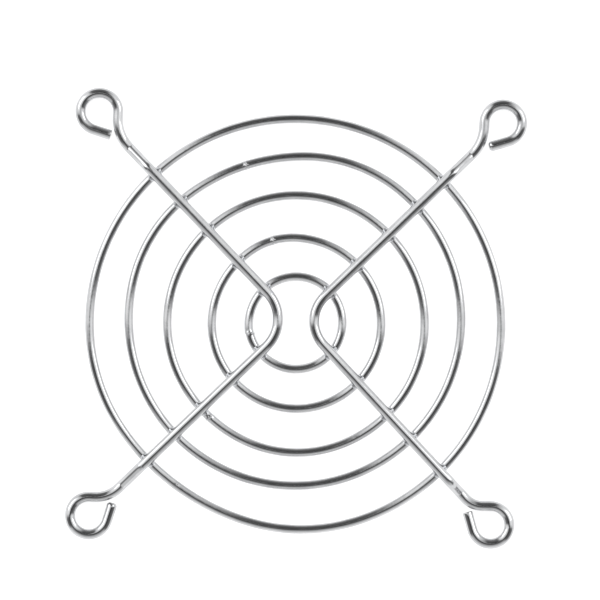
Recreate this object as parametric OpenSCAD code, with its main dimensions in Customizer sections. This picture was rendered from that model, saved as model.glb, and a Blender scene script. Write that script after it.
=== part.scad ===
// Wire guard for an 80 mm axial fan.
// Five rings of round wire hang under two V-shaped legs and are welded to them at every crossing.
// Outside the rings each end of a leg steps down to the fan and curls into an open eye for a screw.
// Millimetres, +Z away from the fan. The origin is the middle of the four eyes, on the fan's face.

/* [Wire] */
// Diameter of the rings' wire
ring_wire_d = 1.6; // [1.4:0.05:1.7]
// Diameter of the legs' wire
leg_wire_d = 1.85; // [1.6:0.05:2]
// How much thicker a wire is where it is bent
bend_swell = 0.02; // [0.01:0.01:0.04]

/* [Fan] */
// Distance between neighbouring eyes, the fan's hole spacing
hole_pitch = 71.5; // [71:0.1:73]

/* [Rings] */
// Centre-line diameter of the innermost ring
ring_1_d = 16.4; // [15.5:0.1:18]
// Centre-line diameter of the second ring
ring_2_d = 30; // [28:0.1:32]
// Centre-line diameter of the third ring
ring_3_d = 45.6; // [43:0.1:48]
// Centre-line diameter of the fourth ring
ring_4_d = 58.9; // [56:0.1:61]
// Centre-line diameter of the outermost ring
ring_5_d = 72.9; // [70:0.1:73.6]
// How far each ring is welded off the middle along X, from the innermost out
ring_x = [0, 0.1, 0, -0.2, -0.1]; // [-1:0.1:1]
// How far each ring is welded off the middle along Y, from the innermost out
ring_y = [-0.7, -0.9, -0.9, -0.1, -1]; // [-1:0.1:1]
// Azimuth of each ring's butt joint, from the innermost out
joint_azimuth = [194, 107, 229, 109, 235]; // [0:1:359]
// How far each ring is flattened at its joint, below 0 where it bulges
joint_flat = [-0.2, -0.4, 0.3, 0.8, 1]; // [-0.5:0.1:1.2]
// How much thicker the wire is at the butt joint
joint_swell = 0.12; // [0.06:0.02:0.2]
// Length of the thicker stretch at the butt joint
joint_length = 0.5; // [0.3:0.1:1]

/* [Welds] */
// How deep a leg is pressed into a ring at a crossing
weld_depth = 0.28; // [0.1:0.02:0.4]
// Diameter of the weld's bead round a crossing
weld_d = 2.2; // [2:0.05:2.4]

/* [Legs: left, right] */
// Distance between the wires of the two legs at their apexes, centre to centre
apex_gap = 6.4; // [5:0.1:7]
// How far each leg's apex is off the middle along Y
apex_y = [-0.3, -0.2]; // [-0.5:0.1:0.5]
// Centre-line radius of the bend at each leg's apex
apex_r = [6.8, 6.1]; // [5:0.1:7.5]
// How far the eyes lie below the legs
step_drop = 3; // [2:0.1:3.4]
// Centre-line radius of the two bends of a step
step_r = 1.2; // [1:0.05:1.3]
// Clear diameter inside an eye
eye_d = 4.8; // [4.4:0.1:5.4]

/* [Corners: rear left, rear right, front left, front right] */
// How far each eye is off the hole pattern along X
eye_x = [-0.1, 0.1, -0.1, -0.3]; // [-0.4:0.1:0.4]
// How far each eye is off the hole pattern along Y
eye_y = [0.1, -0.1, -0.1, 0.1]; // [-0.4:0.1:0.4]
// How far the eye's middle lies beside the line of the leg's arm
eye_side = [0.55, 0.15, 0.15, 0.1]; // [0:0.05:0.8]
// Distance along the leg from the outermost ring to the start of the step
step_start = [0.6, 1.1, 0.4, 1.1]; // [0.4:0.1:1.6]
// Level length between the step and the neck
foot_length = [0.1, 0.1, 0.4, 1]; // [0.1:0.1:1.6]
// Centre-line radius of the neck, the bend between a step and its eye
neck_r = [7, 7, 6, 4.3]; // [3:0.1:7]
// Angle that the neck turns aside before the eye
neck_turn = [46.5, 42.5, 48.5, 47]; // [38:0.5:48.5]
// Angle that the eye curls through
eye_turn = [255, 250, 257, 254]; // [230:1:260]
// Straight length at the wire's end
tail_length = [3.2, 3.6, 3.4, 3.3]; // [1:0.1:4]

/* [Hidden] */
$fn = 48;

chrome = [0.8, 0.81, 0.83];

// Each bend is a hair thicker than the straight wire, and the straight ends are tucked this far into it
tuck = 0.05;
ring_bent_d = ring_wire_d + bend_swell;
leg_bent_d = leg_wire_d + bend_swell;

foot_z = leg_bent_d / 2;
leg_z = foot_z + step_drop;
ring_z = leg_z - (leg_wire_d + ring_wire_d) / 2 + weld_depth;
weld_z = (leg_z + ring_z) / 2;

ring_d = [ring_1_d, ring_2_d, ring_3_d, ring_4_d, ring_5_d];

// Half angles, seen from a ring's middle, of the flattened arc at its joint and of the two arcs beside it
flat_half = 18;
shoulder_half = 55;

// The arms are worked out at the rear right corner. Flipped swaps a point with its mirror image there
function side_x(k) = k % 2 == 1 ? 1 : -1;
function side_y(k) = k < 2 ? 1 : -1;
function flipped(point, k) = [point[0] * side_x(k), point[1] * side_y(k)];
function turned(point, angle) =
  [point[0] * cos(angle) - point[1] * sin(angle), point[0] * sin(angle) + point[1] * cos(angle)];

// A leg's straight arm touches the apex bend and runs past the middle of its eye
eye_r = (eye_d + leg_bent_d) / 2;
function apex_middle(k) = [apex_gap / 2 + apex_r[k % 2], apex_y[k % 2] * side_y(k)];
function to_eye(k) =
  [hole_pitch, hole_pitch] / 2 + flipped([eye_x[k], eye_y[k]], k) - apex_middle(k);
function arm_miss(k) = apex_r[k % 2] + eye_side[k] * side_y(k);
function arm_azimuth(k) = atan2(to_eye(k)[1], to_eye(k)[0]) - asin(arm_miss(k) / norm(to_eye(k)));
function arm_heading(k) = [cos(arm_azimuth(k)), sin(arm_azimuth(k))];
function arm_start(k) = apex_middle(k) + turned([0, apex_r[k % 2]], arm_azimuth(k));
function arm_reach(k) = sqrt(to_eye(k) * to_eye(k) - arm_miss(k) * arm_miss(k));

// Distance along the arm of corner k from its start to where it crosses a circle
function crossing(k, middle, radius) =
  let (from = arm_start(k) - middle, along = from * arm_heading(k))
    sqrt(along * along + radius * radius - from * from) - along;

// A ring is its main arc, a flat arc centred on the joint and two shoulder arcs that lead into it.
// The joint lies on the ring's own +X, and the shoulder arcs' middles lie this far from the ring's middle
function squeeze(i) =
  joint_flat[i] / (1 - cos(shoulder_half) - sin(shoulder_half) * tan(flat_half / 2));
function shoulder_r(i) = ring_d[i] / 2 - squeeze(i);
function flat_r(i) = shoulder_r(i) + squeeze(i) * sin(shoulder_half) / sin(flat_half);
function flat_centre(i) =
  squeeze(i) * cos(shoulder_half) - (flat_r(i) - shoulder_r(i)) * cos(flat_half);

function shoulder_centre(i, side) = squeeze(i) * [cos(shoulder_half), side * sin(shoulder_half)];

// Middle and radius of the arc of ring i at an angle from its joint
function arc_at(i, angle) =
  abs(angle) > shoulder_half ? [[0, 0], ring_d[i] / 2]
    : abs(angle) > flat_half ? [shoulder_centre(i, sign(angle)), shoulder_r(i)]
    : [[flat_centre(i), 0], flat_r(i)];

// Angle from the joint of ring i to where the arm of corner k meets its main circle
function joint_angle(i, k) =
  let (
    middle = flipped([ring_x[i], ring_y[i]], k),
    hit = flipped(arm_start(k) + arm_heading(k) * crossing(k, middle, ring_d[i] / 2) - middle, k)
  )
    (atan2(hit[1], hit[0]) - joint_azimuth[i] + 540) % 360 - 180;

// Distance along the arm of corner k to its weld with ring i
function weld_at(i, k) =
  let (
    piece = arc_at(i, joint_angle(i, k)),
    middle = [ring_x[i], ring_y[i]] + turned(piece[0], joint_azimuth[i])
  )
    crossing(k, flipped(middle, k), piece[1]);

// Lengths along the arm at corner k, from the arm's start to beside the middle of the eye
function neck_length(k) =
  (eye_side[k] + eye_r * cos(neck_turn[k]) - neck_r[k] * (1 - cos(neck_turn[k]))) / sin(neck_turn[k]);
function neck_reach(k) =
  (neck_r[k] + eye_r) * sin(neck_turn[k]) + neck_length(k) * cos(neck_turn[k]);
function arm_length(k) = weld_at(4, k) + ring_wire_d / 2 + step_start[k];
function step_run(k) = arm_reach(k) - arm_length(k) - foot_length[k] - neck_reach(k);

// Slope and straight length of the S-shaped step at corner k
function step_slope(k) =
  asin(2 * step_r / norm([step_run(k), 2 * step_r - step_drop]))
    - atan2(2 * step_r - step_drop, step_run(k));
function step_length(k) = sqrt(step_run(k) * step_run(k) + step_drop * step_drop - 4 * step_r * step_drop);

// Straight leg wire along +X, tucked into what it meets at both ends
module straight(length) {
  translate([-tuck, 0, 0])
    rotate([0, 90, 0])
      cylinder(d = leg_wire_d, h = length + 2 * tuck);
}

// Arc of wire about the origin
module arc(radius, d, from, to) {
  rotate_extrude(angle = to - from, start = from)
    translate([radius, 0])
      circle(d = d);
}

// Leg wire that sets out along +X and turns left
module bend(angle, radius) {
  translate([0, radius, 0])
    arc(radius, leg_bent_d, -90, angle - 90);
}

// Places what follows a bend
module after_bend(angle, radius) {
  translate([0, radius, 0])
    rotate([0, 0, angle])
      translate([0, -radius, 0])
        children();
}

// Wire built piece by piece along +X: [length] is straight, [angle, radius, roll] is a bend
module wire_run(pieces, i = 0) {
  if (i < len(pieces)) {
    piece = pieces[i];
    if (len(piece) == 1) {
      straight(piece[0]);
      translate([piece[0], 0, 0])
        wire_run(pieces, i + 1);
    } else {
      rotate([piece[2], 0, 0]) {
        bend(piece[0], piece[1]);
        after_bend(piece[0], piece[1])
          rotate([-piece[2], 0, 0])
            wire_run(pieces, i + 1);
      }
    }
  }
}

// Places the start of the arm of corner k, with the arm along +X
module at_arm(k) {
  mirror([1 - k % 2, 0, 0])
    mirror([0, floor(k / 2), 0])
      translate([arm_start(k)[0], arm_start(k)[1], leg_z])
        rotate([0, 0, arm_azimuth(k)])
          children();
}

// Arm, step, neck and eye of corner k. The neck turns against the apex bend at the rear, with it in front
module corner(k) {
  neck_roll = k < 2 ? 0 : 180;
  at_arm(k)
    wire_run([
      [arm_length(k)],
      [step_slope(k), step_r, -90],
      [step_length(k)],
      [step_slope(k), step_r, 90],
      [foot_length[k]],
      [neck_turn[k], neck_r[k], neck_roll],
      [neck_length(k)],
      [eye_turn[k], eye_r, 180 - neck_roll],
      [tail_length[k]]
    ]);
}

// Bend between the two arms of leg k, the left or the right one
module apex_bend(k) {
  mirror([1 - k, 0, 0])
    translate([apex_gap / 2 + apex_r[k], apex_y[k], leg_z])
      arc(apex_r[k], leg_bent_d, 90 + arm_azimuth(k), 270 - arm_azimuth(k + 2));
}

// Leg whose two eyes are corners k and k + 2
module leg(k) {
  color(chrome) {
    apex_bend(k);
    corner(k);
    corner(k + 2);
  }
}

// One closed ring, flattened or bulged at its butt joint, which lies on +X
module hoop(i) {
  radius = ring_d[i] / 2;
  main_tuck = asin(tuck / radius);
  flat_tuck = asin(tuck / flat_r(i));
  joint_half = asin(joint_length / 2 / flat_r(i));
  arc(radius, ring_wire_d, shoulder_half - main_tuck, 360 - shoulder_half + main_tuck);
  for (side = [0, 1])
    mirror([0, side, 0])
      translate(shoulder_centre(i, 1))
        arc(shoulder_r(i), ring_bent_d, flat_half, shoulder_half);
  translate([flat_centre(i), 0, 0]) {
    arc(flat_r(i), ring_wire_d, -flat_half - flat_tuck, flat_half + flat_tuck);
    arc(flat_r(i), ring_wire_d + joint_swell, -joint_half, joint_half);
  }
}

// Ring i with its weld beads and the saddles that the legs press into it
module ring(i) {
  color(chrome)
    difference() {
      union() {
        translate([ring_x[i], ring_y[i], ring_z])
          rotate([0, 0, joint_azimuth[i]])
            hoop(i);
        for (k = [0:3])
          at_arm(k)
            translate([weld_at(i, k), 0, weld_z - leg_z])
              sphere(d = weld_d);
      }
      for (k = [0:3])
        at_arm(k)
          straight(arm_length(k));
      for (k = [0, 1])
        apex_bend(k);
    }
}

module ring_1() { ring(0); }
module ring_2() { ring(1); }
module ring_3() { ring(2); }
module ring_4() { ring(3); }
module ring_5() { ring(4); }
module leg_left() { leg(0); }
module leg_right() { leg(1); }

ring_1();
ring_2();
ring_3();
ring_4();
ring_5();
leg_left();
leg_right();
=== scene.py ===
"""Looks of the wire fan guard: chrome-plated rings and legs, their welds, and a plain studio."""

import logging
import math
from dataclasses import dataclass, field
from enum import Enum, IntEnum

import bmesh
import bpy
from mathutils import Matrix, Vector


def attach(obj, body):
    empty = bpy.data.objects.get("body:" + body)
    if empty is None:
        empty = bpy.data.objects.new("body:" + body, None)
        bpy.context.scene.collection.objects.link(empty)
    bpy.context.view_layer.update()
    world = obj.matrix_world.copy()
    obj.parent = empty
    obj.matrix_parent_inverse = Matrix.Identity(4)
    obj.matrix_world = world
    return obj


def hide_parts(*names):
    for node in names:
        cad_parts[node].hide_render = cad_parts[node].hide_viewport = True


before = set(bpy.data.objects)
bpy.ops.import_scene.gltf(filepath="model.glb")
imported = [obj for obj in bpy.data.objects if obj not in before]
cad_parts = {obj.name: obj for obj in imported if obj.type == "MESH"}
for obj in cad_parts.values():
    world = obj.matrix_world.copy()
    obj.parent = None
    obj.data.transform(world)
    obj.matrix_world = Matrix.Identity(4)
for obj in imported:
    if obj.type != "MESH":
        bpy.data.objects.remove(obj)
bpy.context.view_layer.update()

LOG = logging.getLogger("fan_guard")
MM = 0.001
ALONG = Vector((1, 0, 0))
UP = Vector((0, 0, 1))
SAME_POINT = 0.005 * MM
QUARTER = math.radians(90)
LAY = "lay"

Colour = tuple[float, float, float]
Tones = tuple[tuple[float, float], ...]


class Surface(Enum):
    """Material slots of every piece."""

    PLATE = 0
    WELD = 1
    CUT = 2


class EndShape(Enum):
    """How the cutter left a wire's end: the rounding of its rim, as a share of the radius."""

    FLAT = 0.16
    ROUNDED = 0.62


class Side(Enum):
    """The side that a wire bends to, as a turn about its heading in degrees."""

    LEFT = 0
    RIGHT = 180
    DOWN = -90
    UP = 90


class MixSocket(IntEnum):
    """Sockets of a Mix node that mixes colours."""

    FACTOR = 0
    FIRST = 6
    SECOND = 7
    RESULT = 2


def grey(tone: float) -> tuple[float, float, float, float]:
    """A grey as a colour with its alpha."""
    return (tone, tone, tone, 1)


def grown_rim(made: list) -> tuple[list, list]:
    """Sort out what an extrusion of a rim made.

    Args:
        made: The operator's new geometry.

    Returns:
        The new rim's vertices, and the edges between them.
    """
    verts = [part for part in made if isinstance(part, bmesh.types.BMVert)]
    edges = [
        part
        for part in made
        if isinstance(part, bmesh.types.BMEdge)
        and part.verts[0] in verts
        and part.verts[1] in verts
    ]
    return verts, edges


def absorb(mesh: bmesh.types.BMesh, part: bmesh.types.BMesh) -> None:
    """Add one mesh to another.

    Args:
        mesh: The mesh that grows.
        part: The mesh that is added to it, and freed.
    """
    kept = bpy.data.meshes.new("part")
    part.to_mesh(kept)
    part.free()
    mesh.from_mesh(kept)
    bpy.data.meshes.remove(kept)


@dataclass
class NodeBench:
    """A node tree, with a short way to add each kind of node that is used more than once."""

    tree: bpy.types.NodeTree

    def add(self, kind: str, **settings: object) -> bpy.types.Node:
        """Add a node.

        Args:
            kind: The node's type.
            settings: Values of the node's own properties.

        Returns:
            The node.
        """
        node = self.tree.nodes.new(kind)
        for name, value in settings.items():
            setattr(node, name, value)
        return node

    def link(self, source: bpy.types.NodeSocket, target: bpy.types.NodeSocket) -> None:
        """Link an output to an input."""
        self.tree.links.new(source, target)

    def noise(
        self, place: bpy.types.NodeSocket, scale: float, detail: float
    ) -> bpy.types.NodeSocket:
        """Add a noise.

        Args:
            place: Where it is read.
            scale: Its scale.
            detail: Its detail.

        Returns:
            Its value.
        """
        node = self.add("ShaderNodeTexNoise")
        node.inputs["Scale"].default_value = scale
        node.inputs["Detail"].default_value = detail
        self.link(place, node.inputs["Vector"])
        return node.outputs["Fac"]

    def spread(
        self,
        value: bpy.types.NodeSocket,
        source: tuple[float, float],
        target: tuple[float, float] = (0.0, 1.0),
        interpolation: str = "LINEAR",
    ) -> bpy.types.NodeSocket:
        """Map a value from one range to another, and clamp it.

        Args:
            value: The value.
            source: The range that it is read from.
            target: The range that it is mapped to.
            interpolation: How it runs between the ends.

        Returns:
            The mapped value.
        """
        node = self.add("ShaderNodeMapRange", interpolation_type=interpolation)
        node.inputs["From Min"].default_value, node.inputs["From Max"].default_value = source
        node.inputs["To Min"].default_value, node.inputs["To Max"].default_value = target
        self.link(value, node.inputs["Value"])
        return node.outputs["Result"]

    def blend(
        self,
        share: bpy.types.NodeSocket,
        first: bpy.types.NodeSocket | Colour,
        second: bpy.types.NodeSocket | Colour,
    ) -> bpy.types.NodeSocket:
        """Mix two colours.

        Args:
            share: How much of the second there is.
            first: The first colour.
            second: The second colour.

        Returns:
            The mixed colour.
        """
        node = self.add("ShaderNodeMix", data_type="RGBA")
        self.link(share, node.inputs[MixSocket.FACTOR])
        for index, colour in ((MixSocket.FIRST, first), (MixSocket.SECOND, second)):
            if isinstance(colour, tuple):
                node.inputs[index].default_value = (*colour, 1)
            else:
                self.link(colour, node.inputs[index])
        return node.outputs[MixSocket.RESULT]

    def bump(
        self,
        height: bpy.types.NodeSocket,
        depth: float,
        under: bpy.types.NodeSocket | None = None,
    ) -> bpy.types.NodeSocket:
        """Roughen the surface.

        Args:
            height: The relief, from 0 to 1.
            depth: Its depth.
            under: The normal that it is laid on, if not the surface's own.

        Returns:
            The normal.
        """
        node = self.add("ShaderNodeBump")
        node.inputs["Distance"].default_value = depth
        self.link(height, node.inputs["Height"])
        if under is not None:
            self.link(under, node.inputs["Normal"])
        return node.outputs["Normal"]

    def ramp(self, value: bpy.types.NodeSocket, stops: Tones) -> bpy.types.NodeSocket:
        """Turn a value into greys.

        Args:
            value: The value.
            stops: Positions from 0 to 1 with the grey at each.

        Returns:
            The grey.
        """
        node = self.add("ShaderNodeValToRGB")
        ramp = node.color_ramp
        for element, (at, tone) in zip(ramp.elements, (stops[0], stops[-1])):
            element.position = at
            element.color = grey(tone)
        for at, tone in stops[1:-1]:
            ramp.elements.new(at).color = grey(tone)
        self.link(value, node.inputs[0])
        return node.outputs["Color"]


@dataclass(frozen=True)
class ChromeFinish:
    """Bright chrome on drawn steel wire.

    The colour drifts a little between patches of thicker and thinner plating, and die lines run
    along the wire.
    """

    name: str = "chrome_plate"
    bright: Colour = (0.61, 0.615, 0.625)
    dull: Colour = (0.51, 0.515, 0.525)
    roughness: tuple[float, float] = (0.05, 0.13)
    patch_scale: float = 260.0
    patch_detail: float = 3.0
    patch_range: tuple[float, float] = (0.3, 0.6)
    line_count: float = 9.0
    line_stretch: float = 0.12
    line_detail: float = 4.0
    line_range: tuple[float, float] = (0.3, 0.75)
    line_depth: float = 0.0035 * MM
    peel_scale: float = 900.0
    peel_detail: float = 2.0
    peel_depth: float = 0.006 * MM

    def material(self) -> bpy.types.Material:
        """Make the material.

        Returns:
            The chrome material, which reads Object coordinates and the wire's own lay attribute.
        """
        made = bpy.data.materials.new(self.name)
        made.use_nodes = True
        bench = NodeBench(made.node_tree)
        shader = made.node_tree.nodes["Principled BSDF"]
        shader.inputs["Metallic"].default_value = 1.0
        place = bench.add("ShaderNodeTexCoord").outputs["Object"]

        patches = bench.noise(place, self.patch_scale, self.patch_detail)
        colour = bench.blend(bench.spread(patches, self.patch_range), self.dull, self.bright)
        bench.link(colour, shader.inputs["Base Color"])

        lay = bench.add("ShaderNodeAttribute", attribute_name=LAY)
        stretch = bench.add("ShaderNodeMapping")
        stretch.inputs["Scale"].default_value = (
            self.line_count,
            self.line_count,
            self.line_stretch,
        )
        bench.link(lay.outputs["Vector"], stretch.inputs["Vector"])
        lines = bench.noise(stretch.outputs["Vector"], 1.0, self.line_detail)
        rough = bench.spread(lines, self.line_range, self.roughness)
        bench.link(rough, shader.inputs["Roughness"])

        peel = bench.noise(place, self.peel_scale, self.peel_detail)
        relief = bench.bump(lines, self.line_depth, under=bench.bump(peel, self.peel_depth))
        bench.link(relief, shader.inputs["Normal"])
        return made


@dataclass(frozen=True)
class GrainFinish:
    """Bare or thinly plated steel with a fine grain, for welds and cut ends."""

    name: str
    light: Colour
    dark: Colour
    roughness: tuple[float, float]
    grain_scale: float
    grain_depth: float
    grain_detail: float = 4.0
    grain_range: tuple[float, float] = (0.3, 0.7)

    def material(self) -> bpy.types.Material:
        """Make the material.

        Returns:
            The grained metal material, which reads Object coordinates.
        """
        made = bpy.data.materials.new(self.name)
        made.use_nodes = True
        bench = NodeBench(made.node_tree)
        shader = made.node_tree.nodes["Principled BSDF"]
        shader.inputs["Metallic"].default_value = 1.0
        place = bench.add("ShaderNodeTexCoord").outputs["Object"]
        grain = bench.noise(place, self.grain_scale, self.grain_detail)
        bench.link(bench.blend(grain, self.dark, self.light), shader.inputs["Base Color"])
        rough = bench.spread(grain, self.grain_range, self.roughness)
        bench.link(rough, shader.inputs["Roughness"])
        bench.link(bench.bump(grain, self.grain_depth), shader.inputs["Normal"])
        return made


CHROME = ChromeFinish()
WELD_CHROME = GrainFinish(
    name="weld_chrome",
    light=(0.74, 0.75, 0.77),
    dark=(0.52, 0.53, 0.55),
    roughness=(0.12, 0.3),
    grain_scale=2600.0,
    grain_depth=0.012 * MM,
)
CUT_STEEL = GrainFinish(
    name="cut_steel",
    light=(0.6, 0.6, 0.6),
    dark=(0.36, 0.36, 0.37),
    roughness=(0.28, 0.5),
    grain_scale=4200.0,
    grain_depth=0.02 * MM,
)


@dataclass
class WireRun:
    """Round wire drawn through space.

    It sets out along its own +X, and grows straight by straight and bend by bend.
    """

    diameter: float
    place: Matrix
    sides: int = 32
    straight_step: float = 1.0 * MM
    bend_step: float = 0.42 * MM
    fewest_bend_steps: int = 3
    cut_segments: int = 5
    run: float = 0.0
    mesh: bmesh.types.BMesh = field(default_factory=bmesh.new)
    rim: list = field(default_factory=list)
    first_rim: list = field(default_factory=list)

    def __post_init__(self) -> None:
        """Lay the first section of the wire."""
        self.lay = self.mesh.verts.layers.float_vector.new(LAY)
        upright = self.place @ Matrix.Rotation(QUARTER, 4, "Y")
        bmesh.ops.create_circle(
            self.mesh, segments=self.sides, radius=self.diameter / 2, matrix=upright
        )
        self.rim = list(self.mesh.edges)
        self.first_rim = list(self.mesh.edges)
        self._mark(self.mesh.verts)

    def _mark(self, section: list) -> None:
        """Note on a section's vertices where they lie round the wire and how far along it.

        Args:
            section: The vertices of one cross-section.
        """
        back = self.place.inverted()
        for vert in section:
            own = back @ vert.co
            turn = Vector((0, own.y, own.z)).normalized()
            vert[self.lay] = (turn.y, turn.z, self.run / MM)

    def _grown(self, geometry: list, length: float) -> None:
        """Take the new section's edges as the wire's end.

        Args:
            geometry: What the operator made.
            length: How much longer the wire now is.
        """
        self.rim = [part for part in geometry if isinstance(part, bmesh.types.BMEdge)]
        self.run += length
        self._mark(list({vert for edge in self.rim for vert in edge.verts}))

    def straight(self, length: float) -> None:
        """Grow a straight stretch.

        Args:
            length: Length of the stretch.
        """
        steps = max(1, math.ceil(length / self.straight_step))
        for _ in range(steps):
            made = bmesh.ops.extrude_edge_only(self.mesh, edges=self.rim)["geom"]
            verts, edges = grown_rim(made)
            move = self.place.to_3x3() @ ALONG * (length / steps)
            bmesh.ops.translate(self.mesh, verts=verts, vec=move)
            self.place = self.place @ Matrix.Translation((length / steps, 0, 0))
            self._grown(edges, length / steps)

    def bend(
        self, angle: float, radius: float, side: Side = Side.LEFT, step: float | None = None
    ) -> None:
        """Grow a bend.

        Args:
            angle: Angle of the bend, in degrees.
            radius: Radius of its centre line.
            side: The side that it turns to.
            step: Length of one step along the wire, if not the usual one.
        """
        length = math.radians(angle) * radius
        steps = max(self.fewest_bend_steps, math.ceil(length / (step or self.bend_step)))
        part = math.radians(angle) / steps
        tip = Matrix.Rotation(math.radians(side.value), 4, "X")
        for _ in range(steps):
            centre = self.place @ tip @ Vector((0, radius, 0))
            axis = (self.place @ tip).to_3x3() @ UP
            made = bmesh.ops.spin(
                self.mesh, geom=self.rim, cent=centre, axis=axis, angle=part, steps=1
            )["geom_last"]
            around = (
                Matrix.Translation((0, radius, 0))
                @ Matrix.Rotation(part, 4, "Z")
                @ Matrix.Translation((0, -radius, 0))
            )
            self.place = self.place @ tip @ around @ tip.inverted()
            self._grown(made, length / steps)

    def cut(self, shape: EndShape) -> None:
        """Close the wire's end with a cut face and a rounded rim.

        Args:
            shape: How the cutter left the end.
        """
        rim = list(self.rim)
        face = bmesh.ops.contextual_create(self.mesh, geom=rim)["faces"][0]
        face.material_index = Surface.CUT.value
        bmesh.ops.bevel(
            self.mesh,
            geom=rim,
            offset=self.diameter / 2 * shape.value,
            offset_type="OFFSET",
            segments=self.cut_segments,
            profile=0.5,
            affect="EDGES",
            material=-1,
        )


@dataclass(frozen=True)
class RingSize:
    """Centre-line sizes of one ring, and of the joint that closes it.

    The ring is a circle, but for a flat arc at the joint and a shoulder arc on each side of it.
    """

    node: str
    diameter: float
    middle: tuple[float, float]
    joint_azimuth: float
    joint_flat: float
    joint_step: float
    flash_left: float = 1.0
    flat_half: float = 18.0
    shoulder_half: float = 55.0

    @property
    def squeeze(self) -> float:
        """Distance from the ring's middle to the shoulder arcs' middles."""
        half = math.radians(self.shoulder_half)
        flat = math.radians(self.flat_half)
        return self.joint_flat / (1 - math.cos(half) - math.sin(half) * math.tan(flat / 2))

    @property
    def shoulder_r(self) -> float:
        """Radius of the arcs beside the joint."""
        return self.diameter / 2 - self.squeeze

    @property
    def flat_r(self) -> float:
        """Radius of the arc at the joint."""
        ratio = math.sin(math.radians(self.shoulder_half)) / math.sin(math.radians(self.flat_half))
        return self.shoulder_r + self.squeeze * ratio

    @property
    def flat_centre(self) -> float:
        """Distance from the ring's middle to the flat arc's middle."""
        return self.squeeze * math.cos(math.radians(self.shoulder_half)) - (
            self.flat_r - self.shoulder_r
        ) * math.cos(math.radians(self.flat_half))

    def arc_at(self, angle: float) -> tuple[Vector, float]:
        """Find the arc at an angle from the joint.

        Args:
            angle: Angle from the joint, from -180 to 180 degrees.

        Returns:
            The arc's middle, in the ring's own plane with the joint on +X, and its radius.
        """
        if abs(angle) > self.shoulder_half:
            return Vector((0, 0)), self.diameter / 2
        if abs(angle) > self.flat_half:
            half = math.radians(self.shoulder_half)
            side = math.copysign(math.sin(half), angle)
            return self.squeeze * Vector((math.cos(half), side)), self.shoulder_r
        return Vector((self.flat_centre, 0)), self.flat_r


@dataclass(frozen=True)
class CornerSize:
    """Sizes of one corner of the guard, from the outermost ring to the wire's end."""

    is_rear: bool
    is_left: bool
    eye_off: tuple[float, float]
    eye_side: float
    step_start: float
    foot_length: float
    neck_r: float
    neck_turn: float
    eye_turn: float
    tail_length: float
    end_shape: EndShape

    def flipped(self, point: Vector) -> Vector:
        """Swap a point with its mirror image at the rear right corner.

        Args:
            point: A point in the plane.

        Returns:
            The mirrored point.
        """
        return Vector((point.x * self.across, point.y * self.along))

    @property
    def across(self) -> int:
        """Sign of the corner's X."""
        return -1 if self.is_left else 1

    @property
    def along(self) -> int:
        """Sign of the corner's Y."""
        return 1 if self.is_rear else -1

    def mirror(self) -> Matrix:
        """Matrix that takes what is built at the rear right corner to this one."""
        return Matrix.Diagonal((self.across, self.along, 1, 1))


@dataclass(frozen=True)
class LegSize:
    """Place and radius of a leg's apex bend."""

    node: str
    is_left: bool
    apex_x: float
    apex_y: float
    apex_r: float


@dataclass(frozen=True)
class Arm:
    """Straight arm of a leg, mirrored to the rear right corner."""

    start: Vector
    azimuth: float
    reach: float

    @property
    def heading(self) -> Vector:
        """Direction of the arm in the plane."""
        return Vector((math.cos(self.azimuth), math.sin(self.azimuth)))

    def crossing(self, centre: Vector, radius: float) -> float:
        """Distance along the arm, from its start, to where it crosses a circle.

        Args:
            centre: The circle's middle.
            radius: Its radius.

        Returns:
            The distance along the arm.
        """
        start = self.start - centre
        along = start.dot(self.heading)
        return math.sqrt(along**2 + radius**2 - start.length_squared) - along


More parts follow.
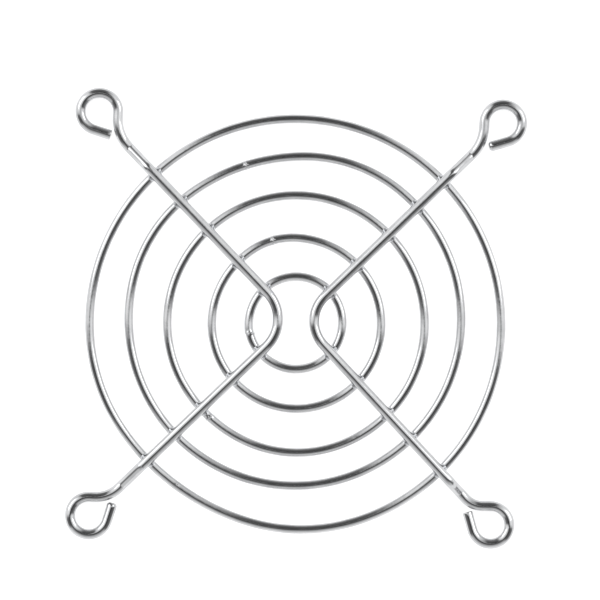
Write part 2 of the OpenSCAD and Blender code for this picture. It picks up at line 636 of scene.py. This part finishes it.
@dataclass
class GuardFrame:
    """Sizes that the rings and the legs share."""

    ring_wire_d: float = 1.6 * MM
    leg_wire_d: float = 1.85 * MM
    bend_swell: float = 0.02 * MM
    hole_pitch: float = 71.5 * MM
    weld_depth: float = 0.28 * MM
    step_drop: float = 3.0 * MM
    step_r: float = 1.2 * MM
    eye_d: float = 4.8 * MM
    rings: tuple[RingSize, ...] = (
        RingSize(
            node="ring_1",
            diameter=16.4 * MM,
            middle=(0.0, -0.7 * MM),
            joint_azimuth=194,
            joint_flat=-0.2 * MM,
            joint_step=0.09 * MM,
        ),
        RingSize(
            node="ring_2",
            diameter=30.0 * MM,
            middle=(0.1 * MM, -0.9 * MM),
            joint_azimuth=107,
            joint_flat=-0.4 * MM,
            joint_step=0.05 * MM,
        ),
        RingSize(
            node="ring_3",
            diameter=45.6 * MM,
            middle=(0.0, -0.9 * MM),
            joint_azimuth=229,
            joint_flat=0.3 * MM,
            joint_step=0.04 * MM,
        ),
        RingSize(
            node="ring_4",
            diameter=58.9 * MM,
            middle=(-0.2 * MM, -0.1 * MM),
            joint_azimuth=109,
            joint_flat=0.8 * MM,
            joint_step=0.03 * MM,
        ),
        RingSize(
            node="ring_5",
            diameter=72.9 * MM,
            middle=(-0.1 * MM, -1.0 * MM),
            joint_azimuth=235,
            joint_flat=1.0 * MM,
            joint_step=0.02 * MM,
            flash_left=0.3,
        ),
    )
    legs: tuple[LegSize, ...] = (
        LegSize(
            node="leg_left",
            is_left=True,
            apex_x=3.2 * MM,
            apex_y=-0.3 * MM,
            apex_r=6.8 * MM,
        ),
        LegSize(
            node="leg_right",
            is_left=False,
            apex_x=3.2 * MM,
            apex_y=-0.2 * MM,
            apex_r=6.1 * MM,
        ),
    )
    corners: tuple[CornerSize, ...] = (
        CornerSize(
            is_rear=True,
            is_left=True,
            eye_off=(-0.1 * MM, 0.1 * MM),
            eye_side=0.55 * MM,
            step_start=0.6 * MM,
            foot_length=0.1 * MM,
            neck_r=7 * MM,
            neck_turn=46.5,
            eye_turn=255,
            tail_length=3.2 * MM,
            end_shape=EndShape.FLAT,
        ),
        CornerSize(
            is_rear=True,
            is_left=False,
            eye_off=(0.1 * MM, -0.1 * MM),
            eye_side=0.15 * MM,
            step_start=1.1 * MM,
            foot_length=0.1 * MM,
            neck_r=7 * MM,
            neck_turn=42.5,
            eye_turn=250,
            tail_length=3.6 * MM,
            end_shape=EndShape.ROUNDED,
        ),
        CornerSize(
            is_rear=False,
            is_left=True,
            eye_off=(-0.1 * MM, -0.1 * MM),
            eye_side=0.15 * MM,
            step_start=0.4 * MM,
            foot_length=0.4 * MM,
            neck_r=6 * MM,
            neck_turn=48.5,
            eye_turn=257,
            tail_length=3.4 * MM,
            end_shape=EndShape.ROUNDED,
        ),
        CornerSize(
            is_rear=False,
            is_left=False,
            eye_off=(-0.3 * MM, 0.1 * MM),
            eye_side=0.1 * MM,
            step_start=1.1 * MM,
            foot_length=1.0 * MM,
            neck_r=4.3 * MM,
            neck_turn=47,
            eye_turn=254,
            tail_length=3.3 * MM,
            end_shape=EndShape.FLAT,
        ),
    )

    def __post_init__(self) -> None:
        """Work out the heights and the eyes' places."""
        bent_d = self.leg_wire_d + self.bend_swell
        self.foot_z = bent_d / 2
        self.leg_z = self.foot_z + self.step_drop
        self.ring_z = self.leg_z - (self.leg_wire_d + self.ring_wire_d) / 2 + self.weld_depth
        self.weld_z = (self.leg_z + self.ring_z) / 2
        self.eye_r = (self.eye_d + bent_d) / 2

    def leg_of(self, corner: CornerSize) -> LegSize:
        """Find the leg that a corner belongs to."""
        return next(leg for leg in self.legs if leg.is_left == corner.is_left)

    def arm(self, corner: CornerSize) -> Arm:
        """Work out a corner's straight arm, which leaves the apex bend and passes beside the eye.

        Args:
            corner: The corner.

        Returns:
            The arm.
        """
        leg = self.leg_of(corner)
        bend_middle = Vector((leg.apex_x + leg.apex_r, leg.apex_y * corner.along))
        hole = Vector((self.hole_pitch / 2, self.hole_pitch / 2))
        to_eye = hole + corner.flipped(Vector(corner.eye_off)) - bend_middle
        miss = leg.apex_r + corner.eye_side * corner.along
        azimuth = math.atan2(to_eye.y, to_eye.x) - math.asin(miss / to_eye.length)
        start = bend_middle + leg.apex_r * Vector((-math.sin(azimuth), math.cos(azimuth)))
        return Arm(start, azimuth, math.sqrt(to_eye.length_squared - miss**2))

    def weld_arc(self, ring: RingSize, corner: CornerSize) -> tuple[Vector, float]:
        """Find the arc of a ring that a corner's arm is welded to.

        Args:
            ring: The ring.
            corner: The corner whose arm crosses it.

        Returns:
            The arc's middle, mirrored to the rear right corner, and its radius.
        """
        arm = self.arm(corner)
        ring_middle = Vector(ring.middle)
        middle = corner.flipped(ring_middle)
        hit = arm.start + arm.heading * arm.crossing(middle, ring.diameter / 2)
        out = corner.flipped(hit - middle)
        angle = math.degrees(math.atan2(out.y, out.x)) - ring.joint_azimuth
        centre, radius = ring.arc_at((angle + 540) % 360 - 180)
        turn = Matrix.Rotation(math.radians(ring.joint_azimuth), 2)
        return corner.flipped(ring_middle + turn @ centre), radius

    def weld_at(self, ring: RingSize, corner: CornerSize) -> float:
        """Distance along a corner's arm to its weld with a ring.

        Args:
            ring: The ring.
            corner: The corner whose arm crosses it.

        Returns:
            The distance from the arm's start.
        """
        return self.arm(corner).crossing(*self.weld_arc(ring, corner))


@dataclass
class Piece:
    """What every wire piece does once its mesh is built."""

    guard: GuardFrame
    finishes: list[bpy.types.Material]

    def dress(self, mesh: bmesh.types.BMesh, node: str) -> bpy.types.Object:
        """Make the object of a mesh, with its finishes, in place of its CAD node.

        Args:
            mesh: The finished mesh, which is freed.
            node: Name of the CAD node that it stands for.

        Returns:
            The new object, which rides on the guard.
        """
        bmesh.ops.recalc_face_normals(mesh, faces=mesh.faces)
        for face in mesh.faces:
            face.smooth = True
        name = f"{node}_wire"
        data = bpy.data.meshes.new(name)
        mesh.to_mesh(data)
        mesh.free()
        for finish in self.finishes:
            data.materials.append(finish)
        made = bpy.data.objects.new(name, data)
        bpy.context.scene.collection.objects.link(made)
        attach(made, "root")
        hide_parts(node)
        LOG.info("%s: %d faces", name, len(data.polygons))
        return made


@dataclass
class Leg(Piece):
    """A V-shaped leg: an apex bend, with an arm, a step, a neck, an eye and a tail on each side."""

    def half(self, corner: CornerSize) -> bmesh.types.BMesh:
        """Draw half of a leg, from the middle of its apex to the wire's end.

        Args:
            corner: The corner that it reaches.

        Returns:
            The half's mesh, in its own place.
        """
        guard = self.guard
        leg = guard.leg_of(corner)
        arm = guard.arm(corner)
        turn = math.radians(corner.neck_turn)
        neck_aside = corner.neck_r * (1 - math.cos(turn))
        neck_length = (
            corner.eye_side + guard.eye_r * math.cos(turn) - neck_aside
        ) / math.sin(turn)
        neck_reach = (corner.neck_r + guard.eye_r) * math.sin(turn) + neck_length * math.cos(turn)
        past_ring = guard.weld_at(guard.rings[-1], corner) + guard.ring_wire_d / 2
        length = past_ring + corner.step_start
        level = arm.reach - length - corner.foot_length - neck_reach
        rise = 2 * guard.step_r - guard.step_drop
        slope = math.degrees(
            math.asin(2 * guard.step_r / math.hypot(level, rise)) - math.atan2(rise, level)
        )
        fall = math.sqrt(level**2 + guard.step_drop**2 - 4 * guard.step_r * guard.step_drop)
        inner, outer = (Side.LEFT, Side.RIGHT) if corner.is_rear else (Side.RIGHT, Side.LEFT)

        start = Matrix.Translation((leg.apex_x, leg.apex_y * corner.along, guard.leg_z))
        wire = WireRun(guard.leg_wire_d, start @ Matrix.Rotation(QUARTER, 4, "Z"))
        wire.bend(90 - math.degrees(arm.azimuth), leg.apex_r, Side.RIGHT)
        wire.straight(length)
        wire.bend(slope, guard.step_r, Side.DOWN)
        wire.straight(fall)
        wire.bend(slope, guard.step_r, Side.UP)
        wire.straight(corner.foot_length)
        wire.bend(corner.neck_turn, corner.neck_r, inner)
        wire.straight(neck_length)
        wire.bend(corner.eye_turn, guard.eye_r, outer)
        wire.straight(corner.tail_length)
        wire.cut(corner.end_shape)
        bmesh.ops.transform(wire.mesh, matrix=corner.mirror(), verts=wire.mesh.verts)
        return wire.mesh

    def build(self, size: LegSize) -> bpy.types.Object:
        """Build one leg.

        Args:
            size: The leg's sizes.

        Returns:
            The leg's object.
        """
        leg = bmesh.new()
        leg.verts.layers.float_vector.new(LAY)
        for corner in self.guard.corners:
            if corner.is_left == size.is_left:
                absorb(leg, self.half(corner))
        apex = [vert for vert in leg.verts if abs(vert.co.y - size.apex_y) < 2 * SAME_POINT]
        bmesh.ops.remove_doubles(leg, verts=apex, dist=SAME_POINT)
        return self.dress(leg, size.node)


@dataclass
class Ring(Piece):
    """A ring of wire, butt welded at its joint, with the weld fillets that hold the four arms.

    At the joint, flash stands round the wire and a seam is sunk in its middle.
    """

    joint_reach: float = 1.0 * MM
    joint_grain: float = 0.05 * MM
    flash_height: float = 0.07 * MM
    flash_reach: float = 0.3 * MM
    seam_depth: float = 0.09 * MM
    seam_reach: float = 0.07 * MM
    stub: float = 1.7 * MM
    bead_d: float = 2.4 * MM
    voxel: float = 0.06 * MM
    smoothing: int = 14
    smoothing_share: float = 0.5

    def hoop(self, ring: RingSize) -> bmesh.types.BMesh:
        """Draw the ring's closed wire, starting and ending at its joint.

        Args:
            ring: The ring's sizes.

        Returns:
            Its mesh.
        """
        guard = self.guard
        joint_x = ring.flat_centre + ring.flat_r
        place = (
            Matrix.Translation((*ring.middle, guard.ring_z))
            @ Matrix.Rotation(math.radians(ring.joint_azimuth), 4, "Z")
            @ Matrix.Translation((joint_x, 0, 0))
            @ Matrix.Rotation(QUARTER, 4, "Z")
        )
        wire = WireRun(guard.ring_wire_d, place)
        near = math.degrees(self.joint_reach / ring.flat_r)
        beside = ring.shoulder_half - ring.flat_half
        wire.bend(near, ring.flat_r, step=self.joint_grain)
        wire.bend(ring.flat_half - near, ring.flat_r)
        wire.bend(beside, ring.shoulder_r)
        wire.bend(360 - 2 * ring.shoulder_half, ring.diameter / 2)
        wire.bend(beside, ring.shoulder_r)
        wire.bend(ring.flat_half - near, ring.flat_r)
        wire.bend(near, ring.flat_r, step=self.joint_grain)
        ends = dict.fromkeys(vert for edge in wire.rim + wire.first_rim for vert in edge.verts)
        bmesh.ops.remove_doubles(wire.mesh, verts=list(ends), dist=SAME_POINT)
        self.joint(wire.mesh, place, ring)
        return wire.mesh

    def joint(self, mesh: bmesh.types.BMesh, place: Matrix, ring: RingSize) -> None:
        """Raise the flash of the butt weld round its seam, and set the two ends a little apart.

        Args:
            mesh: The closed wire.
            place: Where the joint is, with the wire's heading on +X.
            ring: The ring's sizes.
        """
        back = place.inverted()
        for vert in mesh.verts:
            own = back @ vert.co
            if own.length > 3 * self.joint_reach:
                continue
            spoke = Vector((0, own.y, own.z)).normalized()
            flash = self.flash_height * math.exp(-((own.x / self.flash_reach) ** 2))
            seam = self.seam_depth * math.exp(-((own.x / self.seam_reach) ** 2))
            on_seam = abs(own.x) <= self.seam_reach / 4
            miss = 0 if on_seam else math.copysign(ring.joint_step / 2, own.x)
            miss *= math.exp(-((own.x / self.joint_reach) ** 2))
            swell = spoke * (flash - seam) * ring.flash_left
            vert.co = place @ (own + swell + Vector((0, miss, 0)))

    def fillet(self, ring: RingSize, corner: CornerSize) -> bmesh.types.BMesh:
        """Shape the metal that a weld leaves in the corners of a crossing.

        Stubs of the two wires and a bead between them are made one skin and smoothed, which fills
        the corners. Away from them the skin lies just inside the wires.

        Args:
            ring: The ring.
            corner: The corner whose arm crosses it.

        Returns:
            The fillet's mesh, in its own place.
        """
        guard = self.guard
        arm = guard.arm(corner)
        centre, radius = guard.weld_arc(ring, corner)
        spot = arm.start + arm.heading * guard.weld_at(ring, corner)
        out = spot - centre
        reach = math.degrees(self.stub / radius)
        start = math.degrees(math.atan2(out.y, out.x)) - reach
        place = (
            Matrix.Translation((centre.x, centre.y, guard.ring_z))
            @ Matrix.Rotation(math.radians(start), 4, "Z")
            @ Matrix.Translation((radius, 0, 0))
            @ Matrix.Rotation(QUARTER, 4, "Z")
        )
        wire = WireRun(guard.ring_wire_d, place)
        wire.bend(2 * reach, radius)
        for rim in (wire.rim, wire.first_rim):
            bmesh.ops.contextual_create(wire.mesh, geom=rim)
        along = Matrix.Rotation(arm.azimuth, 4, "Z") @ Matrix.Rotation(QUARTER, 4, "Y")
        bmesh.ops.create_cone(
            wire.mesh,
            cap_ends=True,
            segments=wire.sides,
            radius1=guard.leg_wire_d / 2,
            radius2=guard.leg_wire_d / 2,
            depth=2 * self.stub,
            matrix=Matrix.Translation((spot.x, spot.y, guard.leg_z)) @ along,
        )
        bmesh.ops.create_uvsphere(
            wire.mesh,
            u_segments=wire.sides,
            v_segments=wire.sides // 2,
            radius=self.bead_d / 2,
            matrix=Matrix.Translation((spot.x, spot.y, guard.weld_z)),
        )
        bmesh.ops.recalc_face_normals(wire.mesh, faces=wire.mesh.faces)
        skin = self.one_skin(wire.mesh)
        bmesh.ops.transform(skin, matrix=corner.mirror(), verts=skin.verts)
        return skin

    def one_skin(self, parts: bmesh.types.BMesh) -> bmesh.types.BMesh:
        """Join overlapping closed shapes into one skin and smooth it.

        Args:
            parts: The closed shapes, which are freed.

        Returns:
            The smoothed skin.
        """
        data = bpy.data.meshes.new("weld_parts")
        parts.to_mesh(data)
        parts.free()
        holder = bpy.data.objects.new("weld_parts", data)
        bpy.context.scene.collection.objects.link(holder)
        remesh = holder.modifiers.new("skin", "REMESH")
        remesh.mode = "VOXEL"
        remesh.voxel_size = self.voxel
        shaped = holder.evaluated_get(bpy.context.evaluated_depsgraph_get())
        skin = bmesh.new()
        skin.from_mesh(shaped.data)
        bpy.data.objects.remove(holder)
        bpy.data.meshes.remove(data)
        for _ in range(self.smoothing):
            bmesh.ops.smooth_vert(
                skin,
                verts=skin.verts,
                factor=self.smoothing_share,
                use_axis_x=True,
                use_axis_y=True,
                use_axis_z=True,
            )
        return skin

    def build(self, ring: RingSize) -> bpy.types.Object:
        """Build one ring with its four weld fillets.

        Args:
            ring: The ring's sizes.

        Returns:
            The ring's object.
        """
        mesh = self.hoop(ring)
        for corner in self.guard.corners:
            fillet = self.fillet(ring, corner)
            for face in fillet.faces:
                face.material_index = Surface.WELD.value
            absorb(mesh, fillet)
        return self.dress(mesh, ring.node)


@dataclass(frozen=True)
class Lamp:
    """A soft box that stands round the guard, by the direction it shines from."""

    name: str
    azimuth: float
    height_angle: float
    distance: float
    width: float
    height: float
    level: float

    def build(self, middle: Vector) -> None:
        """Hang the lamp.

        Args:
            middle: What it points at.
        """
        data = bpy.data.lights.new(self.name, "AREA")
        data.shape = "RECTANGLE"
        data.size = self.width
        data.size_y = self.height
        data.energy = self.level * math.pi * self.width * self.height
        lamp = bpy.data.objects.new(self.name, data)
        around, up = math.radians(self.azimuth), math.radians(self.height_angle)
        level_out = Vector((math.cos(around), math.sin(around), 0))
        out = level_out * math.cos(up) + UP * math.sin(up)
        lamp.location = middle + out * self.distance
        lamp.rotation_mode = "QUATERNION"
        lamp.rotation_quaternion = out.to_track_quat("Z", "Y")
        bpy.context.scene.collection.objects.link(lamp)


# Greys of the room by height, from 0 at the horizon to 1 straight overhead.
SIDE_TONES: Tones = (
    (0.0, 0.93),
    (0.26, 1.05),
    (0.42, 1.14),
    (0.6, 1.22),
    (0.8, 1.2),
    (0.9, 1.1),
    (0.97, 0.98),
    (1.0, 0.85),
)
SOFT_TONES: Tones = (
    (0.0, 0.8),
    (0.42, 0.95),
    (0.6, 1.0),
    (0.8, 0.9),
    (0.97, 0.45),
    (1.0, 0.25),
)
FRONT_TONES: Tones = (
    (0.0, 0.9),
    (0.26, 0.88),
    (0.57, 0.76),
    (0.82, 0.4),
    (0.92, 0.17),
    (1.0, 0.055),
)
WALL_TONES: Tones = (
    (0.0, 0.52),
    (0.26, 0.3),
    (0.6, 0.18),
    (0.9, 0.105),
    (1.0, 0.06),
)


@dataclass(frozen=True)
class Panel:
    """A tall pale panel of the room, in degrees round it: its middle, its half width, its edge."""

    azimuth: float
    half: float
    soft: float
    tones: Tones

    @property
    def heading(self) -> tuple[float, float, float]:
        """Direction from the guard to the panel's middle."""
        turn = math.radians(self.azimuth)
        return (math.cos(turn), math.sin(turn), 0)

    @property
    def edge(self) -> tuple[float, float]:
        """Cosines of the angles where the panel starts and where it is full."""
        outer, inner = self.half + self.soft, self.half - self.soft
        return (math.cos(math.radians(outer)), math.cos(math.radians(inner)))


@dataclass
class Studio:
    """A white sweep under two soft boxes, a room for the chrome to mirror, and the camera."""

    lamps: tuple[Lamp, ...] = (
        Lamp(
            name="soft_box_right",
            azimuth=24,
            height_angle=35,
            distance=1.2,
            width=0.5,
            height=0.8,
            level=1.24,
        ),
        Lamp(
            name="soft_box_left",
            azimuth=153,
            height_angle=35,
            distance=1.2,
            width=0.6,
            height=0.8,
            level=1.17,
        ),
    )
    panels: tuple[Panel, ...] = (
        Panel(azimuth=38, half=24, soft=14, tones=SOFT_TONES),
        Panel(azimuth=22, half=28, soft=7, tones=SIDE_TONES),
        Panel(azimuth=153, half=31.5, soft=8, tones=SIDE_TONES),
        Panel(azimuth=265, half=50, soft=7, tones=FRONT_TONES),
    )
    sweep_r: float = 1.9
    sweep_wall: float = 0.2
    sweep_sides: int = 96
    sweep_steps: int = 8
    paper_glow: float = 0.8
    paper_shade: float = 0.55
    paper_grey: float = 0.8
    camera_turn: float = 1.5
    camera_height: float = 1.0
    frame_width: float = 106.5 * MM
    eye_level: float = 0.76 * MM
    aim: tuple[float, float] = (0.7 * MM, 3.34 * MM)
    sensor: float = 36.0
    clip: tuple[float, float] = (0.01, 20.0)

    def sweep(self) -> None:
        """Lay the white floor, whose edge curves up into a low wall."""
        mesh = bmesh.new()
        bmesh.ops.create_circle(
            mesh, cap_ends=True, segments=self.sweep_sides, radius=self.sweep_r
        )
        rim = list(mesh.edges)
        for step in range(self.sweep_steps):
            made = bmesh.ops.extrude_edge_only(mesh, edges=rim)["geom"]
            verts, rim = grown_rim(made)
            before, after = (QUARTER * part / self.sweep_steps for part in (step, step + 1))
            rise = self.sweep_wall * (math.cos(before) - math.cos(after))
            grow = self.sweep_wall * (math.sin(after) - math.sin(before))
            radius = verts[0].co.to_2d().length
            bmesh.ops.scale(mesh, verts=verts, vec=((radius + grow) / radius,) * 2 + (1,))
            bmesh.ops.translate(mesh, verts=verts, vec=(0, 0, rise))
        bmesh.ops.recalc_face_normals(mesh, faces=mesh.faces)
        for face in mesh.faces:
            face.smooth = True
        data = bpy.data.meshes.new("sweep")
        mesh.to_mesh(data)
        mesh.free()
        sweep = bpy.data.objects.new("sweep", data)
        data.materials.append(self.white_paper())
        bpy.context.scene.collection.objects.link(sweep)

    def white_paper(self) -> bpy.types.Material:
        """Make the white paper of the sweep, which stays white to the eye and in the chrome.

        Returns:
            The paper's material.
        """
        made = bpy.data.materials.new("white_paper")
        made.use_nodes = True
        made.node_tree.nodes.clear()
        bench = NodeBench(made.node_tree)
        rays = bench.add("ShaderNodeLightPath")
        seen = rays.outputs["Is Camera Ray"]
        for other in ("Is Glossy Ray", "Is Transmission Ray"):
            either = bench.add("ShaderNodeMath", operation="MAXIMUM")
            bench.link(seen, either.inputs[0])
            bench.link(rays.outputs[other], either.inputs[1])
            seen = either.outputs[0]
        unseen = bench.add("ShaderNodeBsdfDiffuse")
        unseen.inputs["Color"].default_value = grey(self.paper_grey)
        glow = bench.add("ShaderNodeEmission")
        glow.inputs["Color"].default_value = grey(1)
        glow.inputs["Strength"].default_value = self.paper_glow
        shaded = bench.add("ShaderNodeBsdfDiffuse")
        shaded.inputs["Color"].default_value = grey(self.paper_shade)
        both = bench.add("ShaderNodeAddShader")
        bench.link(glow.outputs[0], both.inputs[0])
        bench.link(shaded.outputs[0], both.inputs[1])
        pick = bench.add("ShaderNodeMixShader")
        bench.link(seen, pick.inputs[0])
        bench.link(unseen.outputs[0], pick.inputs[1])
        bench.link(both.outputs[0], pick.inputs[2])
        out = bench.add("ShaderNodeOutputMaterial")
        bench.link(pick.outputs[0], out.inputs["Surface"])
        return made

    def room(self) -> None:
        """Give the room a dark ceiling, walls that pale towards the floor, and its panels."""
        world = bpy.data.worlds.new("room")
        bpy.context.scene.world = world
        world.use_nodes = True
        world.node_tree.nodes.clear()
        bench = NodeBench(world.node_tree)
        ahead = bench.add("ShaderNodeTexCoord").outputs["Generated"]
        split = bench.add("ShaderNodeSeparateXYZ")
        bench.link(ahead, split.inputs[0])
        height = split.outputs["Z"]
        level = bench.add("ShaderNodeVectorMath", operation="MULTIPLY")
        level.inputs[1].default_value = (1, 1, 0)
        bench.link(ahead, level.inputs[0])
        heading = bench.add("ShaderNodeVectorMath", operation="NORMALIZE")
        bench.link(level.outputs[0], heading.inputs[0])
        tone = bench.ramp(height, WALL_TONES)
        for panel in self.panels:
            facing = bench.add("ShaderNodeVectorMath", operation="DOT_PRODUCT")
            facing.inputs[1].default_value = panel.heading
            bench.link(heading.outputs[0], facing.inputs[0])
            inside = bench.spread(
                facing.outputs["Value"], panel.edge, interpolation="SMOOTHSTEP"
            )
            tone = bench.blend(inside, tone, bench.ramp(height, panel.tones))
        back = bench.add("ShaderNodeBackground")
        bench.link(tone, back.inputs["Color"])
        out = bench.add("ShaderNodeOutputWorld")
        bench.link(back.outputs[0], out.inputs["Surface"])

    def camera(self) -> None:
        """Set the camera straight above, turned a little."""
        data = bpy.data.cameras.new("camera")
        data.sensor_width = self.sensor
        data.lens = self.sensor * (self.camera_height - self.eye_level) / self.frame_width
        data.clip_start, data.clip_end = self.clip
        camera = bpy.data.objects.new("camera", data)
        turn = Matrix.Rotation(math.radians(self.camera_turn), 4, "Z")
        place = turn @ Vector((*self.aim, 0))
        camera.matrix_world = Matrix.Translation((place.x, place.y, self.camera_height)) @ turn
        bpy.context.scene.collection.objects.link(camera)
        bpy.context.scene.camera = camera

    def build(self) -> None:
        """Set up the floor, the lamps, the room and the camera."""
        self.sweep()
        for lamp in self.lamps:
            lamp.build(Vector())
        self.room()
        self.camera()
        bpy.context.scene.view_settings.view_transform = "Standard"
        LOG.info("studio: %d lamps", len(self.lamps))


def main() -> None:
    """Build the guard piece by piece, then the studio."""
    logging.basicConfig(level=logging.INFO, format="%(message)s")
    guard = GuardFrame()
    finishes = [CHROME.material(), WELD_CHROME.material(), CUT_STEEL.material()]
    ring = Ring(guard, finishes)
    for size in guard.rings:
        ring.build(size)
    leg = Leg(guard, finishes)
    for size in guard.legs:
        leg.build(size)
    Studio().build()


if __name__ == "__main__":
    main()
